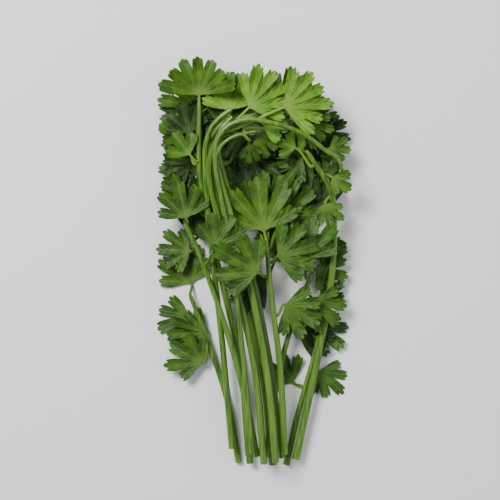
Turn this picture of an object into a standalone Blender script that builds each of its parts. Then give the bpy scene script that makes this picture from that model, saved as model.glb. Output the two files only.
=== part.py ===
"""A bunch of cut flat-leaf parsley, lying on a surface.

Metres, +Z up. +Y runs from the cut ends to the leafy tops, and Z = 0 is the surface.
Every stem is a tapered tube. Every leaflet is a lobed blade that grows out of its own stalk.
The pieces are laid one at a time, the lowest first, and each one is raised until it lies
clear of those already down.
"""

import math
from itertools import product

import bpy
from mathutils import Matrix, Vector
from mathutils.bvhtree import BVHTree

MM = 0.001

# Driving dimensions, in millimetres.
BLADE_HALF = 0.42       # half of a blade's thickness
STALK_RADIUS = 0.62     # a leaflet's own stalk, where the blade starts
FOOT_RADIUS = 0.7       # the same stalk, where it leaves the stem
JOIN_GAP = 0.78         # from a stem's surface to the end of a stalk
CLEARANCE = 0.32        # between any two pieces
LAY_STEP = 0.25         # how far a piece is raised at a time
LAY_START = -3.0        # where a leaf's first try is, against its base in the table
LAY_STEPS = 54
STALK_SHIFTS = (0.0, 0.02, 0.04, 0.07, 0.11)   # tried down the stem, as shares of it
SIDE_SHIFTS = ((0, 0), (1, 0), (-1, 0), (0, 1), (0, -1))  # tried for the blade, in x and y
STRAYS = (1.0, 3.0)     # the side shifts are first tried at this many millimetres, then at that
SHORTEST_STALK = 2.2    # from the foot of a stalk to the base of its blade
LONGEST_BEND = 14.0     # a longer stalk bends no more than one of this length
LOBE_FULLNESS = 3.0     # how square the end of a lobe is
SWEEP = 0.5             # how much a stalk sets out along its stem
TUBE_SIDES = 6
NECK = 0.1              # the stalk widens into the blade at this share of the leaf's length
MID_RING = 0.55         # the ring of points half way out along the blade

# Each lobe of a leaf is (angle from the midrib, share of the leaf's length, half angle), in
# degrees. SINUS is how far out the cuts between the lobes start, as a share of the length.
FORMS = {
    "cup": [(-72, 0.98, 14), (-46, 0.96, 13), (-22, 1.0, 12), (2, 0.94, 12), (26, 1.0, 12),
            (49, 0.97, 13), (74, 1.0, 14)],
    "fan": [(-64, 0.72, 16), (-33, 0.92, 15), (0, 1.0, 16), (33, 0.92, 15), (64, 0.72, 16)],
    "comb": [(-58, 0.76, 13), (-34, 0.88, 12), (-11, 0.98, 11.5), (12, 1.0, 11.5), (35, 0.93, 12),
             (59, 0.8, 13)],
    "hand": [(-48, 0.82, 17), (-15, 1.0, 15), (17, 0.96, 15), (48, 0.74, 16)],
    "round": [(-44, 0.84, 22), (0, 1.0, 22), (44, 0.84, 22)],
}
SINUS = {"cup": 0.5, "fan": 0.52, "comb": 0.42, "hand": 0.42, "round": 0.6}
LOBE_SAMPLES = (-1.0, -0.5, 0.0, 0.5)   # where a lobe is sampled, as shares of its half angle

# Stems: route points in millimetres from the cut end up, then the radius at each end.
STEMS = {
    "back_stem": ([(-2, -84, 2), (-6, -30, 2.4), (-9, 20, 2.4), (-8, 52, 2.6), (-6, 66, 3.4)], 1.3, 0.8),
    "low_right_stem": ([(15, -88, 1.9), (20, -66, 2.6), (26, -44, 4), (29, -31, 5)], 1.5, 0.9),
    "low_left_stem": ([(-6, -87, 1.9), (-11, -60, 2.4), (-20, -32, 4), (-27, -14, 5)], 1.4, 0.9),
    "right_stem": ([(19, -85, 2.2), (27, -48, 3), (34, -10, 5), (35.4, 20, 8), (33.4, 33, 11),
                    (28, 42, 13), (24, 48, 14)], 1.6, 1.0),
    "upper_arch_stem": ([(9, -88, 2), (4, -45, 3), (-7, 0, 5), (-16, 35, 8), (-17.8, 52, 10.5),
                         (-13, 61, 12.3), (-1.7, 64.2, 13.5), (9.8, 65.8, 14), (20, 63.8, 13)], 1.6, 0.9),
    "hero_stem": ([(-1, -87, 3), (-5, -45, 4), (-15, 0, 6), (-22.2, 35, 10), (-23, 55, 12),
                   (-23, 69, 13)], 1.5, 0.85),
    "cut_stem": ([(-9, -80, 5), (-13, -35, 6), (-18, 10, 8), (-20.4, 45, 11.5), (-18.5, 57, 14),
                  (-14.5, 62.6, 15.4), (-9.2, 66.6, 16)], 1.3, 1.05),
    "mid_left_stem": ([(2, -83, 5.5), (-7, -42, 7), (-21, 0, 8), (-29, 18, 9)], 1.4, 0.9),
    "mid_right_stem": ([(6, -84, 5.5), (11, -50, 7), (19, -20, 8.5), (26, -4, 9.5)], 1.4, 0.9),
    "middle_stem": ([(13, -84, 5.5), (8, -45, 7), (-1, 0, 9), (-11, 34, 11), (-14.6, 49, 13),
                     (-12.6, 55.6, 14.2), (-4.6, 56.4, 15), (0.4, 57.2, 15.4)], 1.4, 0.85),
    "fan_stem": ([(5, -86, 8.5), (1, -45, 9.5), (-9, 0, 11), (-18.6, 38, 13.5), (-14.2, 56, 16.5),
                  (-10.6, 61, 17.2), (-8.6, 63.2, 17.5)], 1.5, 0.95),
    "lower_arch_stem": ([(10, -85, 9), (6, -45, 10), (-3, 0, 11.5), (-13.6, 36, 14), (-15.6, 50, 16),
                         (-11, 58.6, 17.5), (-1.7, 62, 18.2), (7.9, 60.4, 18.6), (14.4, 58.8, 18.6),
                         (22.9, 54.9, 18), (31, 48.8, 16.5), (36.2, 45.6, 14.5), (38.6, 40.5, 12)], 1.5, 0.75),
    "thin_arch_stem": ([(0, -81, 9), (-4, -40, 11), (-9, 5, 13.5), (-15.4, 40, 16.5), (-14.6, 48.3, 18),
                        (-10.4, 53.2, 19.2), (-4.6, 55.4, 19.6), (-2, 53.6, 19.2)], 1.1, 0.6),
    "centre_stem": ([(14, -82, 9), (12, -45, 11), (8, -12, 13), (6, 10, 14)], 1.4, 0.9),
}

# Leaves: the stem and how far along it the stalk leaves (1 is the tip), the base of the blade
# (x, y, z), its heading in degrees from +X, its length, its form, and then in degrees how far
# the tip is pitched up and the blade rolled, and how much its sides cup and its length arches.
LEAVES = {
    # Behind, the lowest layer.
    "back_leaf_left": ("back_stem", 0.97, (-10, 69, 4), 86, 18, "fan", 2, -4, 0.12, -0.05),
    "back_leaf_right": ("back_stem", 1.0, (-1, 70, 4), 78, 17, "fan", 4, 6, 0.1, 0.05),
    "deep_leaf_left": ("back_stem", 0.74, (-3, 31, 3), 62, 22, "fan", 2, 0, 0.1, 0.0),
    "deep_leaf_right": ("right_stem", 0.85, (29, 29, 4), 128, 22, "fan", 0, 0, 0.1, 0.0),
    "low_right_leaf_01": ("low_right_stem", 1.0, (27.4, -27, 4), -36, 16, "fan", -3, 4, 0.15, -0.05),
    "low_right_leaf_02": ("low_right_stem", 0.8, (29.6, -47, 3), -42, 14, "fan", -2, -4, 0.2, 0.0),
    "low_right_leaf_03": ("low_right_stem", 0.6, (18, -52, 3), 128, 15, "hand", 2, 0, 0.2, 0.0),
    "low_left_leaf_01": ("low_left_stem", 1.0, (-27, -8, 4), 112, 19, "fan", 2, -4, 0.15, -0.05),
    "low_left_leaf_02": ("low_left_stem", 0.9, (-26.4, -23, 3.4), 200, 17, "fan", 0, 4, 0.15, 0.0),
    "low_left_leaf_03": ("low_left_stem", 0.7, (-21, -43, 3), 150, 17, "fan", 2, 0, 0.15, 0.0),
    "dark_curled_leaf": ("upper_arch_stem", 0.97, (25.6, 62.6, 6), 14, 14, "fan", 4, -8, 0.25, -0.15),
    "dark_curled_leaf_low": ("lower_arch_stem", 0.93, (27.6, 57.6, 7), -12, 14, "fan", 0, 8, 0.25, -0.15),
    "dull_leaf": ("right_stem", 0.95, (22, 46.6, 7), 202, 16, "fan", -2, 6, 0.15, -0.1),
    "behind_cup_leaf": ("hero_stem", 0.92, (-20, 69, 6), 14, 16, "round", -2, 6, 0.15, -0.05),
    "under_cup_leaf": ("hero_stem", 0.95, (-25, 70, 8), 172, 16, "fan", 4, -6, 0.2, 0.05),
    "lower_left_leaf": ("hero_stem", 0.77, (-28.6, 38.6, 6), 128, 16, "fan", 2, 4, 0.15, 0.0),
    "left_edge_leaf": ("hero_stem", 0.7, (-29.4, 30, 5), 166, 13, "hand", 0, -4, 0.2, 0.0),
    "dark_left_leaf": ("hero_stem", 0.88, (-27.2, 56.4, 9), 108, 14, "fan", 4, 4, 0.2, 0.0),
    "left_light_leaf": ("hero_stem", 0.84, (-31, 56, 12), 152, 11, "round", 8, 6, 0.3, 0.1),
    # The middle layer.
    "edge_leaf_01": ("right_stem", 0.78, (34, 13, 7), -80, 13, "hand", -2, 6, 0.2, -0.1),
    "edge_leaf_02": ("right_stem", 0.87, (34.4, 26.4, 10), -74, 11, "fan", -2, 6, 0.3, -0.1),
    "right_leaf_01": ("mid_right_stem", 1.0, (28, -3, 9), -14, 14, "fan", 0, 4, 0.2, -0.05),
    "right_leaf_02": ("mid_right_stem", 0.9, (26.4, -15, 7), -44, 16.5, "fan", -2, -4, 0.15, 0.0),
    "right_leaf_03": ("mid_right_stem", 0.97, (24, 3, 11), 84, 19, "fan", 2, 0, 0.15, 0.0),
    "mid_left_leaf_01": ("mid_left_stem", 1.0, (-27.6, 20.4, 10), 104, 17, "fan", 4, -4, 0.2, 0.0),
    "mid_left_leaf_02": ("mid_left_stem", 0.9, (-27.4, 6, 9), 176, 15, "fan", 0, 4, 0.15, 0.0),
    "mid_left_leaf_03": ("mid_left_stem", 0.82, (-16, 8, 17), 62, 17, "fan", 4, 2, 0.15, 0.0),
    "toothed_leaf": ("upper_arch_stem", 0.93, (12.6, 70.4, 9), 64, 16.5, "comb", 4, 4, 0.2, 0.05),
    "toothed_leaf_low": ("upper_arch_stem", 0.97, (18.4, 68.2, 11), 36, 12.5, "hand", 2, -4, 0.2, 0.0),
    "pointed_leaf": ("upper_arch_stem", 1.0, (22, 62.4, 13), -30, 15, "comb", 0, 8, 0.25, -0.05),
    "rounded_left_leaf": ("hero_stem", 0.81, (-26, 47.6, 15), 128, 12, "round", 4, 4, 0.3, 0.0),
    "light_edge_leaf": ("right_stem", 0.91, (33, 37.6, 14), -34, 9.5, "round", 2, 6, 0.3, 0.0),
    "edge_leaf_top": ("lower_arch_stem", 0.97, (33.4, 50.4, 16), -4, 9, "fan", 0, 4, 0.3, -0.1),
    "broad_leaf": ("right_stem", 1.0, (23, 49.8, 16), 128, 10.5, "round", 0, -4, 0.2, 0.0),
    "small_round_leaf": ("right_stem", 0.96, (19.6, 50.4, 18), 160, 9, "round", 4, 0, 0.3, 0.0),
    "centre_leaf_01": ("centre_stem", 1.0, (5, 14, 14), 98, 24, "fan", 3, 0, 0.1, 0.0),
    "centre_leaf_02": ("centre_stem", 0.9, (11, 4, 14), 18, 20, "fan", 2, 2, 0.12, 0.0),
    "centre_leaf_03": ("centre_stem", 0.84, (2.4, -3, 15), 150, 21, "fan", 3, 0, 0.12, 0.0),
    "centre_leaf_04": ("centre_stem", 0.72, (14.4, -18, 13), -30, 18, "fan", 0, 2, 0.12, 0.0),
    # The top layer.
    "hand_leaf": ("middle_stem", 1.0, (2, 56, 16.4), -50, 12, "hand", -6, 4, 0.2, -0.15),
    "rounded_leaf": ("middle_stem", 0.96, (4.6, 59, 20), 8, 11, "round", 4, 4, 0.3, 0.1),
    "narrow_leaf": ("thin_arch_stem", 1.0, (-1.4, 51.8, 20), -76, 9, "hand", -12, 6, 0.3, -0.2),
    "right_fan_leaf": ("fan_stem", 0.955, (12.6, 67.2, 20), 16, 21, "comb", 0, 4, 0.2, -0.1),
    "upper_fan_leaf": ("fan_stem", 0.98, (-1.4, 67.4, 21), 42, 20.5, "comb", 2, 2, 0.15, -0.05),
    "central_fan_leaf": ("fan_stem", 0.985, (-10, 67, 16), 92, 17, "fan", 4, -4, 0.2, 0.0),
    "cupped_leaf": ("hero_stem", 1.0, (-23, 72.4, 14.6), 90, 16.4, "cup", 8, 0, 0.6, 0.1),
}

# Colours as linear RGB, with the roughness of a waxy leaf and of a smooth stem.
LEAF_COLOURS = {"dark": (0.03, 0.07, 0.012), "mid": (0.10, 0.23, 0.035), "light": (0.2, 0.36, 0.07)}
STEM_COLOUR = (0.19, 0.34, 0.06)
LEAF_ROUGHNESS = 0.45
STEM_ROUGHNESS = 0.38


def clear_scene():
    for old in list(bpy.data.objects):
        bpy.data.objects.remove(old, do_unlink=True)


def material(name, colour, roughness):
    made = bpy.data.materials.new(name)
    made.use_nodes = True
    shader = made.node_tree.nodes["Principled BSDF"]
    shader.inputs["Base Color"].default_value = (*colour, 1.0)
    shader.inputs["Roughness"].default_value = roughness
    return made


def smooth_route(points, steps):
    """Catmull-Rom points through the route, `steps` to each stretch."""
    held = [Vector(p) for p in points]
    held = [2 * held[0] - held[1], *held, 2 * held[-1] - held[-2]]
    route = []
    for i in range(1, len(held) - 2):
        a, b, c, d = held[i - 1:i + 3]
        for k in range(steps):
            t = k / steps
            route.append(0.5 * (2 * b + (c - a) * t + (2 * a - 5 * b + 4 * c - d) * t * t
                                + (3 * b - 3 * c + d - a) * t ** 3))
    route.append(held[-2])
    return route


def along(route, share):
    """The point and the direction at this share of the route's length."""
    lengths = [(b - a).length for a, b in zip(route, route[1:])]
    left = share * sum(lengths)
    for a, b, length in zip(route, route[1:], lengths):
        if left <= length:
            return a.lerp(b, left / length), (b - a).normalized()
        left -= length
    return route[-1].copy(), (route[-1] - route[-2]).normalized()


def ring(centre, direction, radius):
    """A ring of TUBE_SIDES points: over the top from left to right, then back underneath."""
    side = direction.cross(Vector((0, 0, 1))).normalized()
    up = side.cross(direction)
    half = TUBE_SIDES // 2
    turn = math.pi / half
    angles = [math.pi - turn / 2 - turn * k for k in range(TUBE_SIDES)]
    return [centre + radius * (math.cos(a) * side + math.sin(a) * up) for a in angles]


def band(first, second):
    """Quads between two closed rings of point numbers."""
    count = len(first)
    return [(first[k], first[(k + 1) % count], second[(k + 1) % count], second[k]) for k in range(count)]


def tube(route, radii):
    """Points and faces of a capped tube."""
    points, faces, last = [], [], None
    for i, (centre, radius) in enumerate(zip(route, radii)):
        ahead = route[min(i + 1, len(route) - 1)] - route[max(i - 1, 0)]
        now = list(range(len(points), len(points) + TUBE_SIDES))
        points += ring(centre, ahead.normalized(), radius)
        if last:
            faces += band(last, now)
        else:
            faces.append(tuple(reversed(now)))
        last = now
    faces.append(tuple(last))
    return points, faces


def outline(form, angle):
    """How far the leaf's edge is from its base at this angle, as a share of its length."""
    reach = SINUS[form]
    for middle, length, half in FORMS[form]:
        fall = abs((angle - middle) / half) ** LOBE_FULLNESS
        reach = max(reach, length - (length - SINUS[form]) * fall)
    return reach


def leaf_angles(form):
    angles = [middle + half * s for middle, _, half in FORMS[form] for s in LOBE_SAMPLES]
    middle, _, half = FORMS[form][-1]
    return sorted({round(a, 3) for a in angles + [middle + half]})


def stitch(inner, outer):
    """Triangles between two open rows that run the same way but differ in count."""
    faces, i, j = [], 0, 0
    while i < len(inner) - 1 or j < len(outer) - 1:
        inner_next = (i + 1) / (len(inner) - 1) if i < len(inner) - 1 else 2.0
        outer_next = (j + 1) / (len(outer) - 1) if j < len(outer) - 1 else 2.0
        if inner_next < outer_next:
            faces.append((inner[i], inner[i + 1], outer[j]))
            i += 1
        else:
            faces.append((inner[i], outer[j + 1], outer[j]))
            j += 1
    return faces


class Leaf:
    """A blade on its stalk, before it is laid."""

    def __init__(self, spec, foot, leaving):
        _, _, base, heading, self.length, self.form, pitch, roll, self.cup, self.arch = spec
        self.base, self.foot, self.leaving = Vector(base), foot, leaving
        turn = Matrix.Rotation(math.radians(heading), 3, "Z")
        turn = turn @ Matrix.Rotation(math.radians(-pitch), 3, "Y")
        self.turn = turn @ Matrix.Rotation(math.radians(roll), 3, "X")

    def surface(self, angle, reach):
        """The middle of the blade, from its base, at this angle and distance."""
        along_rib = reach * math.cos(math.radians(angle))
        across = reach * math.sin(math.radians(angle))
        rise = (self.cup * across ** 2 + self.arch * along_rib ** 2) / self.length
        return self.turn @ Vector((along_rib, across, rise))

    def normal(self, angle, reach):
        step = 0.2
        out = self.surface(angle, reach + step) - self.surface(angle, reach - step)
        side = self.surface(angle + step, reach) - self.surface(angle - step, reach)
        return out.cross(side).normalized()

    def build(self, moved):
        """Points and faces with the blade moved by `moved`, the foot of the stalk staying put."""
        base = self.base + moved
        wide = leaf_angles(self.form)
        neck = [wide[-1] * 0.9, 0.0, wide[0] * 0.9]
        rows = [(neck, [NECK * self.length] * 3)]
        for share in (MID_RING, 1.0):
            rows.append((wide[::-1], [share * self.length * outline(self.form, a) for a in wide[::-1]]))
        points, tops, unders = [], [], []
        for sign, store in ((1, tops), (-1, unders)):
            for angles, reaches in rows:
                store.append(list(range(len(points), len(points) + len(angles))))
                for angle, reach in zip(angles, reaches):
                    offset = self.normal(angle, reach) * BLADE_HALF * sign
                    points.append(base + self.surface(angle, reach) + offset)
        faces = []
        for rows_up, flip in ((tops, False), (unders, True)):
            sheet = stitch(rows_up[0], rows_up[1])
            for near, far in zip(zip(rows_up[1], rows_up[1][1:]), zip(rows_up[2], rows_up[2][1:])):
                sheet.append((near[0], near[1], far[1], far[0]))
            faces += [tuple(reversed(f)) for f in sheet] if flip else sheet
        edge_up = [tops[0][0], tops[1][0], *tops[2], tops[1][-1], tops[0][-1]]
        edge_down = [unders[0][0], unders[1][0], *unders[2], unders[1][-1], unders[0][-1]]
        for k in range(len(edge_up) - 1):
            faces.append((edge_up[k], edge_up[k + 1], edge_down[k + 1], edge_down[k]))
        mouth = tops[0] + unders[0][::-1]
        ahead = self.turn @ Vector((1, 0, 0))
        span = (base - self.foot).length
        bend = min(span, LONGEST_BEND)
        bend_a = self.foot + self.leaving * bend * 0.35
        bend_b = base - ahead * bend * 0.4
        last = mouth
        for k, t in enumerate((1.0, 0.75, 0.5, 0.25, 0.0)):
            s = 1 - t
            centre = (s ** 3) * self.foot + 3 * s * s * t * bend_a + 3 * s * t * t * bend_b + t ** 3 * base
            flow = (3 * s * s * (bend_a - self.foot) + 6 * s * t * (bend_b - bend_a)
                    + 3 * t * t * (base - bend_b)).normalized()
            radius = FOOT_RADIUS + (STALK_RADIUS - FOOT_RADIUS) * t
            now = list(range(len(points), len(points) + TUBE_SIDES))
            points += ring(centre, flow, radius)
            faces += band(now, last)
            last = now
        faces.append(tuple(reversed(last)))
        return points, faces


def make_object(name, points, faces, look):
    mesh = bpy.data.meshes.new(name)
    mesh.from_pydata([p * MM for p in points], [], faces)
    mesh.update()
    mesh.materials.append(look)
    made = bpy.data.objects.new(name, mesh)
    bpy.context.scene.collection.objects.link(made)
    return made


def swollen(points, faces, amount):
    """The same points pushed out by `amount`, for testing clearance."""
    normals = [Vector() for _ in points]
    for face in faces:
        a, b, c = (points[face[k]] for k in (0, 1, 2))
        flat = (b - a).cross(c - b)
        if flat.length > 1e-9:
            for k in face:
                normals[k] += flat.normalized()
    return [p + n.normalized() * amount for p, n in zip(points, normals)]


def tree_of(points, faces):
    return BVHTree.FromPolygons(points, faces, all_triangles=False)


def crosses_itself(points, faces):
    tree = tree_of(points, faces)
    return any(not set(faces[a]) & set(faces[b]) for a, b in tree.overlap(tree))


def put_on_surface(pieces):
    """Moves every mesh alike, so that the origin is under the middle of the bunch's box."""
    points = [vertex.co for piece in pieces for vertex in piece.data.vertices]
    low = Vector([min(p[k] for p in points) for k in range(3)])
    high = Vector([max(p[k] for p in points) for k in range(3)])
    origin = Vector(((low.x + high.x) / 2, (low.y + high.y) / 2, low.z))
    for piece in pieces:
        piece.data.transform(Matrix.Translation(-origin))


def stalk_foot(spec, share, route, radii):
    """Where the stalk starts, just off the stem, and which way it sets out."""
    start, direction = along(route, share)
    if share == 1.0:
        return start + direction * JOIN_GAP, direction
    radius = radii[0] + (radii[1] - radii[0]) * share
    toward = Vector(spec[2]) - start
    toward -= direction * toward.dot(direction)
    toward.normalize()
    return start + toward * (radius + JOIN_GAP), (toward + SWEEP * direction).normalized()


def lay_leaf(spec, route, radii, is_clear):
    """The leaf at the lowest height at which it is clear, or None if it finds no place."""
    places = product(STRAYS, range(LAY_STEPS), STALK_SHIFTS, SIDE_SHIFTS)
    for stray, step, shift, (aside_x, aside_y) in places:
        foot, leaving = stalk_foot(spec, spec[1] - shift, route, radii)
        moved = Vector((stray * aside_x, stray * aside_y, LAY_START + step * LAY_STEP))
        if (Vector(spec[2]) + moved - foot).length < SHORTEST_STALK:
            continue
        shape = Leaf(spec, foot, leaving).build(moved)
        if is_clear(*shape) and not crosses_itself(*shape):
            return shape
    return None


def main():
    clear_scene()
    laid, routes, radii_of = [], {}, {}
    looks = {tone: material(f"leaf_{tone}", colour, LEAF_ROUGHNESS) for tone, colour in LEAF_COLOURS.items()}
    looks["stem"] = material("stem_green", STEM_COLOUR, STEM_ROUGHNESS)

    def clear_of_all(points, faces):
        if min(p.z for p in points) < 0:
            return False
        tree = tree_of(swollen(points, faces, CLEARANCE), faces)
        return not any(tree.overlap(other) for other in laid)

    for name, (points, first, last) in STEMS.items():
        route = smooth_route(points, 3)
        count = len(route) - 1
        radii = [first + (last - first) * i / count for i in range(count + 1)]
        lift = 0.0
        while True:
            raised = [p + Vector((0, 0, lift)) for p in route]
            shape = tube(raised, radii)
            if clear_of_all(*shape):
                break
            lift += LAY_STEP
        print(f"{name} raised {lift:.2f}")
        laid.append(tree_of(*shape))
        routes[name], radii_of[name] = raised, (first, last)
        make_object(name, *shape, looks["stem"])

    for name, spec in LEAVES.items():
        shape = lay_leaf(spec, routes[spec[0]], radii_of[spec[0]], clear_of_all)
        if shape is None:
            print(f"{name} finds no clear place")
            continue
        laid.append(tree_of(*shape))
        tone = "dark" if name.startswith(("dark", "back", "deep")) else "mid"
        make_object(name, *shape, looks[tone])

    put_on_surface(bpy.data.objects)


main()
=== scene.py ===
# %% [markdown]
# # A bunch of flat-leaf parsley
#
# The bunch is a set of cut sprigs lying on a table. The frame already holds where every stem
# and leaf lies, as plain solids. Here each one is modelled again as the living thing: ribbed
# stems with wet cut ends, and pleated leaves with rounded teeth, ribs and a waxy skin.

# %% Load the frame
import math
import random

import bpy
import numpy as np
from mathutils import Matrix, Vector


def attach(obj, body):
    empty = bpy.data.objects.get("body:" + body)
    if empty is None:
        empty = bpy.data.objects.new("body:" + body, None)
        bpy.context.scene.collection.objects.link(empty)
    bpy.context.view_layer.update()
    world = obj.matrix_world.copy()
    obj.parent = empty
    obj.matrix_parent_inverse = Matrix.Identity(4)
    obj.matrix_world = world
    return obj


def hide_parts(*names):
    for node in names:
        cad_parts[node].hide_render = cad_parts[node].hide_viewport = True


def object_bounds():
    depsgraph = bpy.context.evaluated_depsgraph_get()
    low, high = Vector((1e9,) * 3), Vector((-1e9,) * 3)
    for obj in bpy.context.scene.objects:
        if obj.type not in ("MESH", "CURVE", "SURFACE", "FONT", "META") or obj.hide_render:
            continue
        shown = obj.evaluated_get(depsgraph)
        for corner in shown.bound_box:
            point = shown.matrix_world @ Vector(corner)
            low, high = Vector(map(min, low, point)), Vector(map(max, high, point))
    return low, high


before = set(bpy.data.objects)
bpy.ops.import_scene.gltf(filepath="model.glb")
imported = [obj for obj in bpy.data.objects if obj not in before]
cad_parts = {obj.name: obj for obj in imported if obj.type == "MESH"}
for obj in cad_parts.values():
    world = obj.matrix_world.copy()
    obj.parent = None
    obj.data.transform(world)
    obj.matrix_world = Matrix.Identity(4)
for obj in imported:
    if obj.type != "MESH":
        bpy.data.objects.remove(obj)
cad_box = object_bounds()
MM = 0.001
print("box of the frame:", cad_box)

# %% [markdown]
# The routes of the stems and the places of the leaves repeat the ones that the solids were laid
# from. A stem has its route points in millimetres and its radius at each end. A leaf has its
# stem, the base of its blade, its heading, its length, its form, and how it is pitched, rolled,
# cupped and arched. The solids were each raised a little so that they lie clear of each other,
# so further down every place is corrected from the frame itself.

# %% Routes of the stems
STEMS = {
    "back_stem": ([(-2, -84, 2), (-6, -30, 2.4), (-9, 20, 2.4), (-8, 52, 2.6), (-6, 66, 3.4)], 1.3, 0.8),
    "low_right_stem": ([(15, -88, 1.9), (20, -66, 2.6), (26, -44, 4), (29, -31, 5)], 1.5, 0.9),
    "low_left_stem": ([(-6, -87, 1.9), (-11, -60, 2.4), (-20, -32, 4), (-27, -14, 5)], 1.4, 0.9),
    "right_stem": ([(19, -85, 2.2), (27, -48, 3), (34, -10, 5), (35.4, 20, 8), (33.4, 33, 11),
                    (28, 42, 13), (24, 48, 14)], 1.6, 1.0),
    "upper_arch_stem": ([(9, -88, 2), (4, -45, 3), (-7, 0, 5), (-16, 35, 8), (-17.8, 52, 10.5),
                         (-13, 61, 12.3), (-1.7, 64.2, 13.5), (9.8, 65.8, 14), (20, 63.8, 13)], 1.6, 0.9),
    "hero_stem": ([(-1, -87, 3), (-5, -45, 4), (-15, 0, 6), (-22.2, 35, 10), (-23, 55, 12),
                   (-23, 69, 13)], 1.5, 0.85),
    "cut_stem": ([(-9, -80, 5), (-13, -35, 6), (-18, 10, 8), (-20.4, 45, 11.5), (-18.5, 57, 14),
                  (-14.5, 62.6, 15.4), (-9.2, 66.6, 16)], 1.3, 1.05),
    "mid_left_stem": ([(2, -83, 5.5), (-7, -42, 7), (-21, 0, 8), (-29, 18, 9)], 1.4, 0.9),
    "mid_right_stem": ([(6, -84, 5.5), (11, -50, 7), (19, -20, 8.5), (26, -4, 9.5)], 1.4, 0.9),
    "middle_stem": ([(13, -84, 5.5), (8, -45, 7), (-1, 0, 9), (-11, 34, 11), (-14.6, 49, 13),
                     (-12.6, 55.6, 14.2), (-4.6, 56.4, 15), (0.4, 57.2, 15.4)], 1.4, 0.85),
    "fan_stem": ([(5, -86, 8.5), (1, -45, 9.5), (-9, 0, 11), (-18.6, 38, 13.5), (-14.2, 56, 16.5),
                  (-10.6, 61, 17.2), (-8.6, 63.2, 17.5)], 1.5, 0.95),
    "lower_arch_stem": ([(10, -85, 9), (6, -45, 10), (-3, 0, 11.5), (-13.6, 36, 14), (-15.6, 50, 16),
                         (-11, 58.6, 17.5), (-1.7, 62, 18.2), (7.9, 60.4, 18.6), (14.4, 58.8, 18.6),
                         (22.9, 54.9, 18), (31, 48.8, 16.5), (36.2, 45.6, 14.5),
                         (38.6, 40.5, 12)], 1.5, 0.75),
    "thin_arch_stem": ([(0, -81, 9), (-4, -40, 11), (-9, 5, 13.5), (-15.4, 40, 16.5), (-14.6, 48.3, 18),
                        (-10.4, 53.2, 19.2), (-4.6, 55.4, 19.6), (-2, 53.6, 19.2)], 1.1, 0.6),
    "centre_stem": ([(14, -82, 9), (12, -45, 11), (8, -12, 13), (6, 10, 14)], 1.4, 0.9),
}
print(len(STEMS), "stems")

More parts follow.
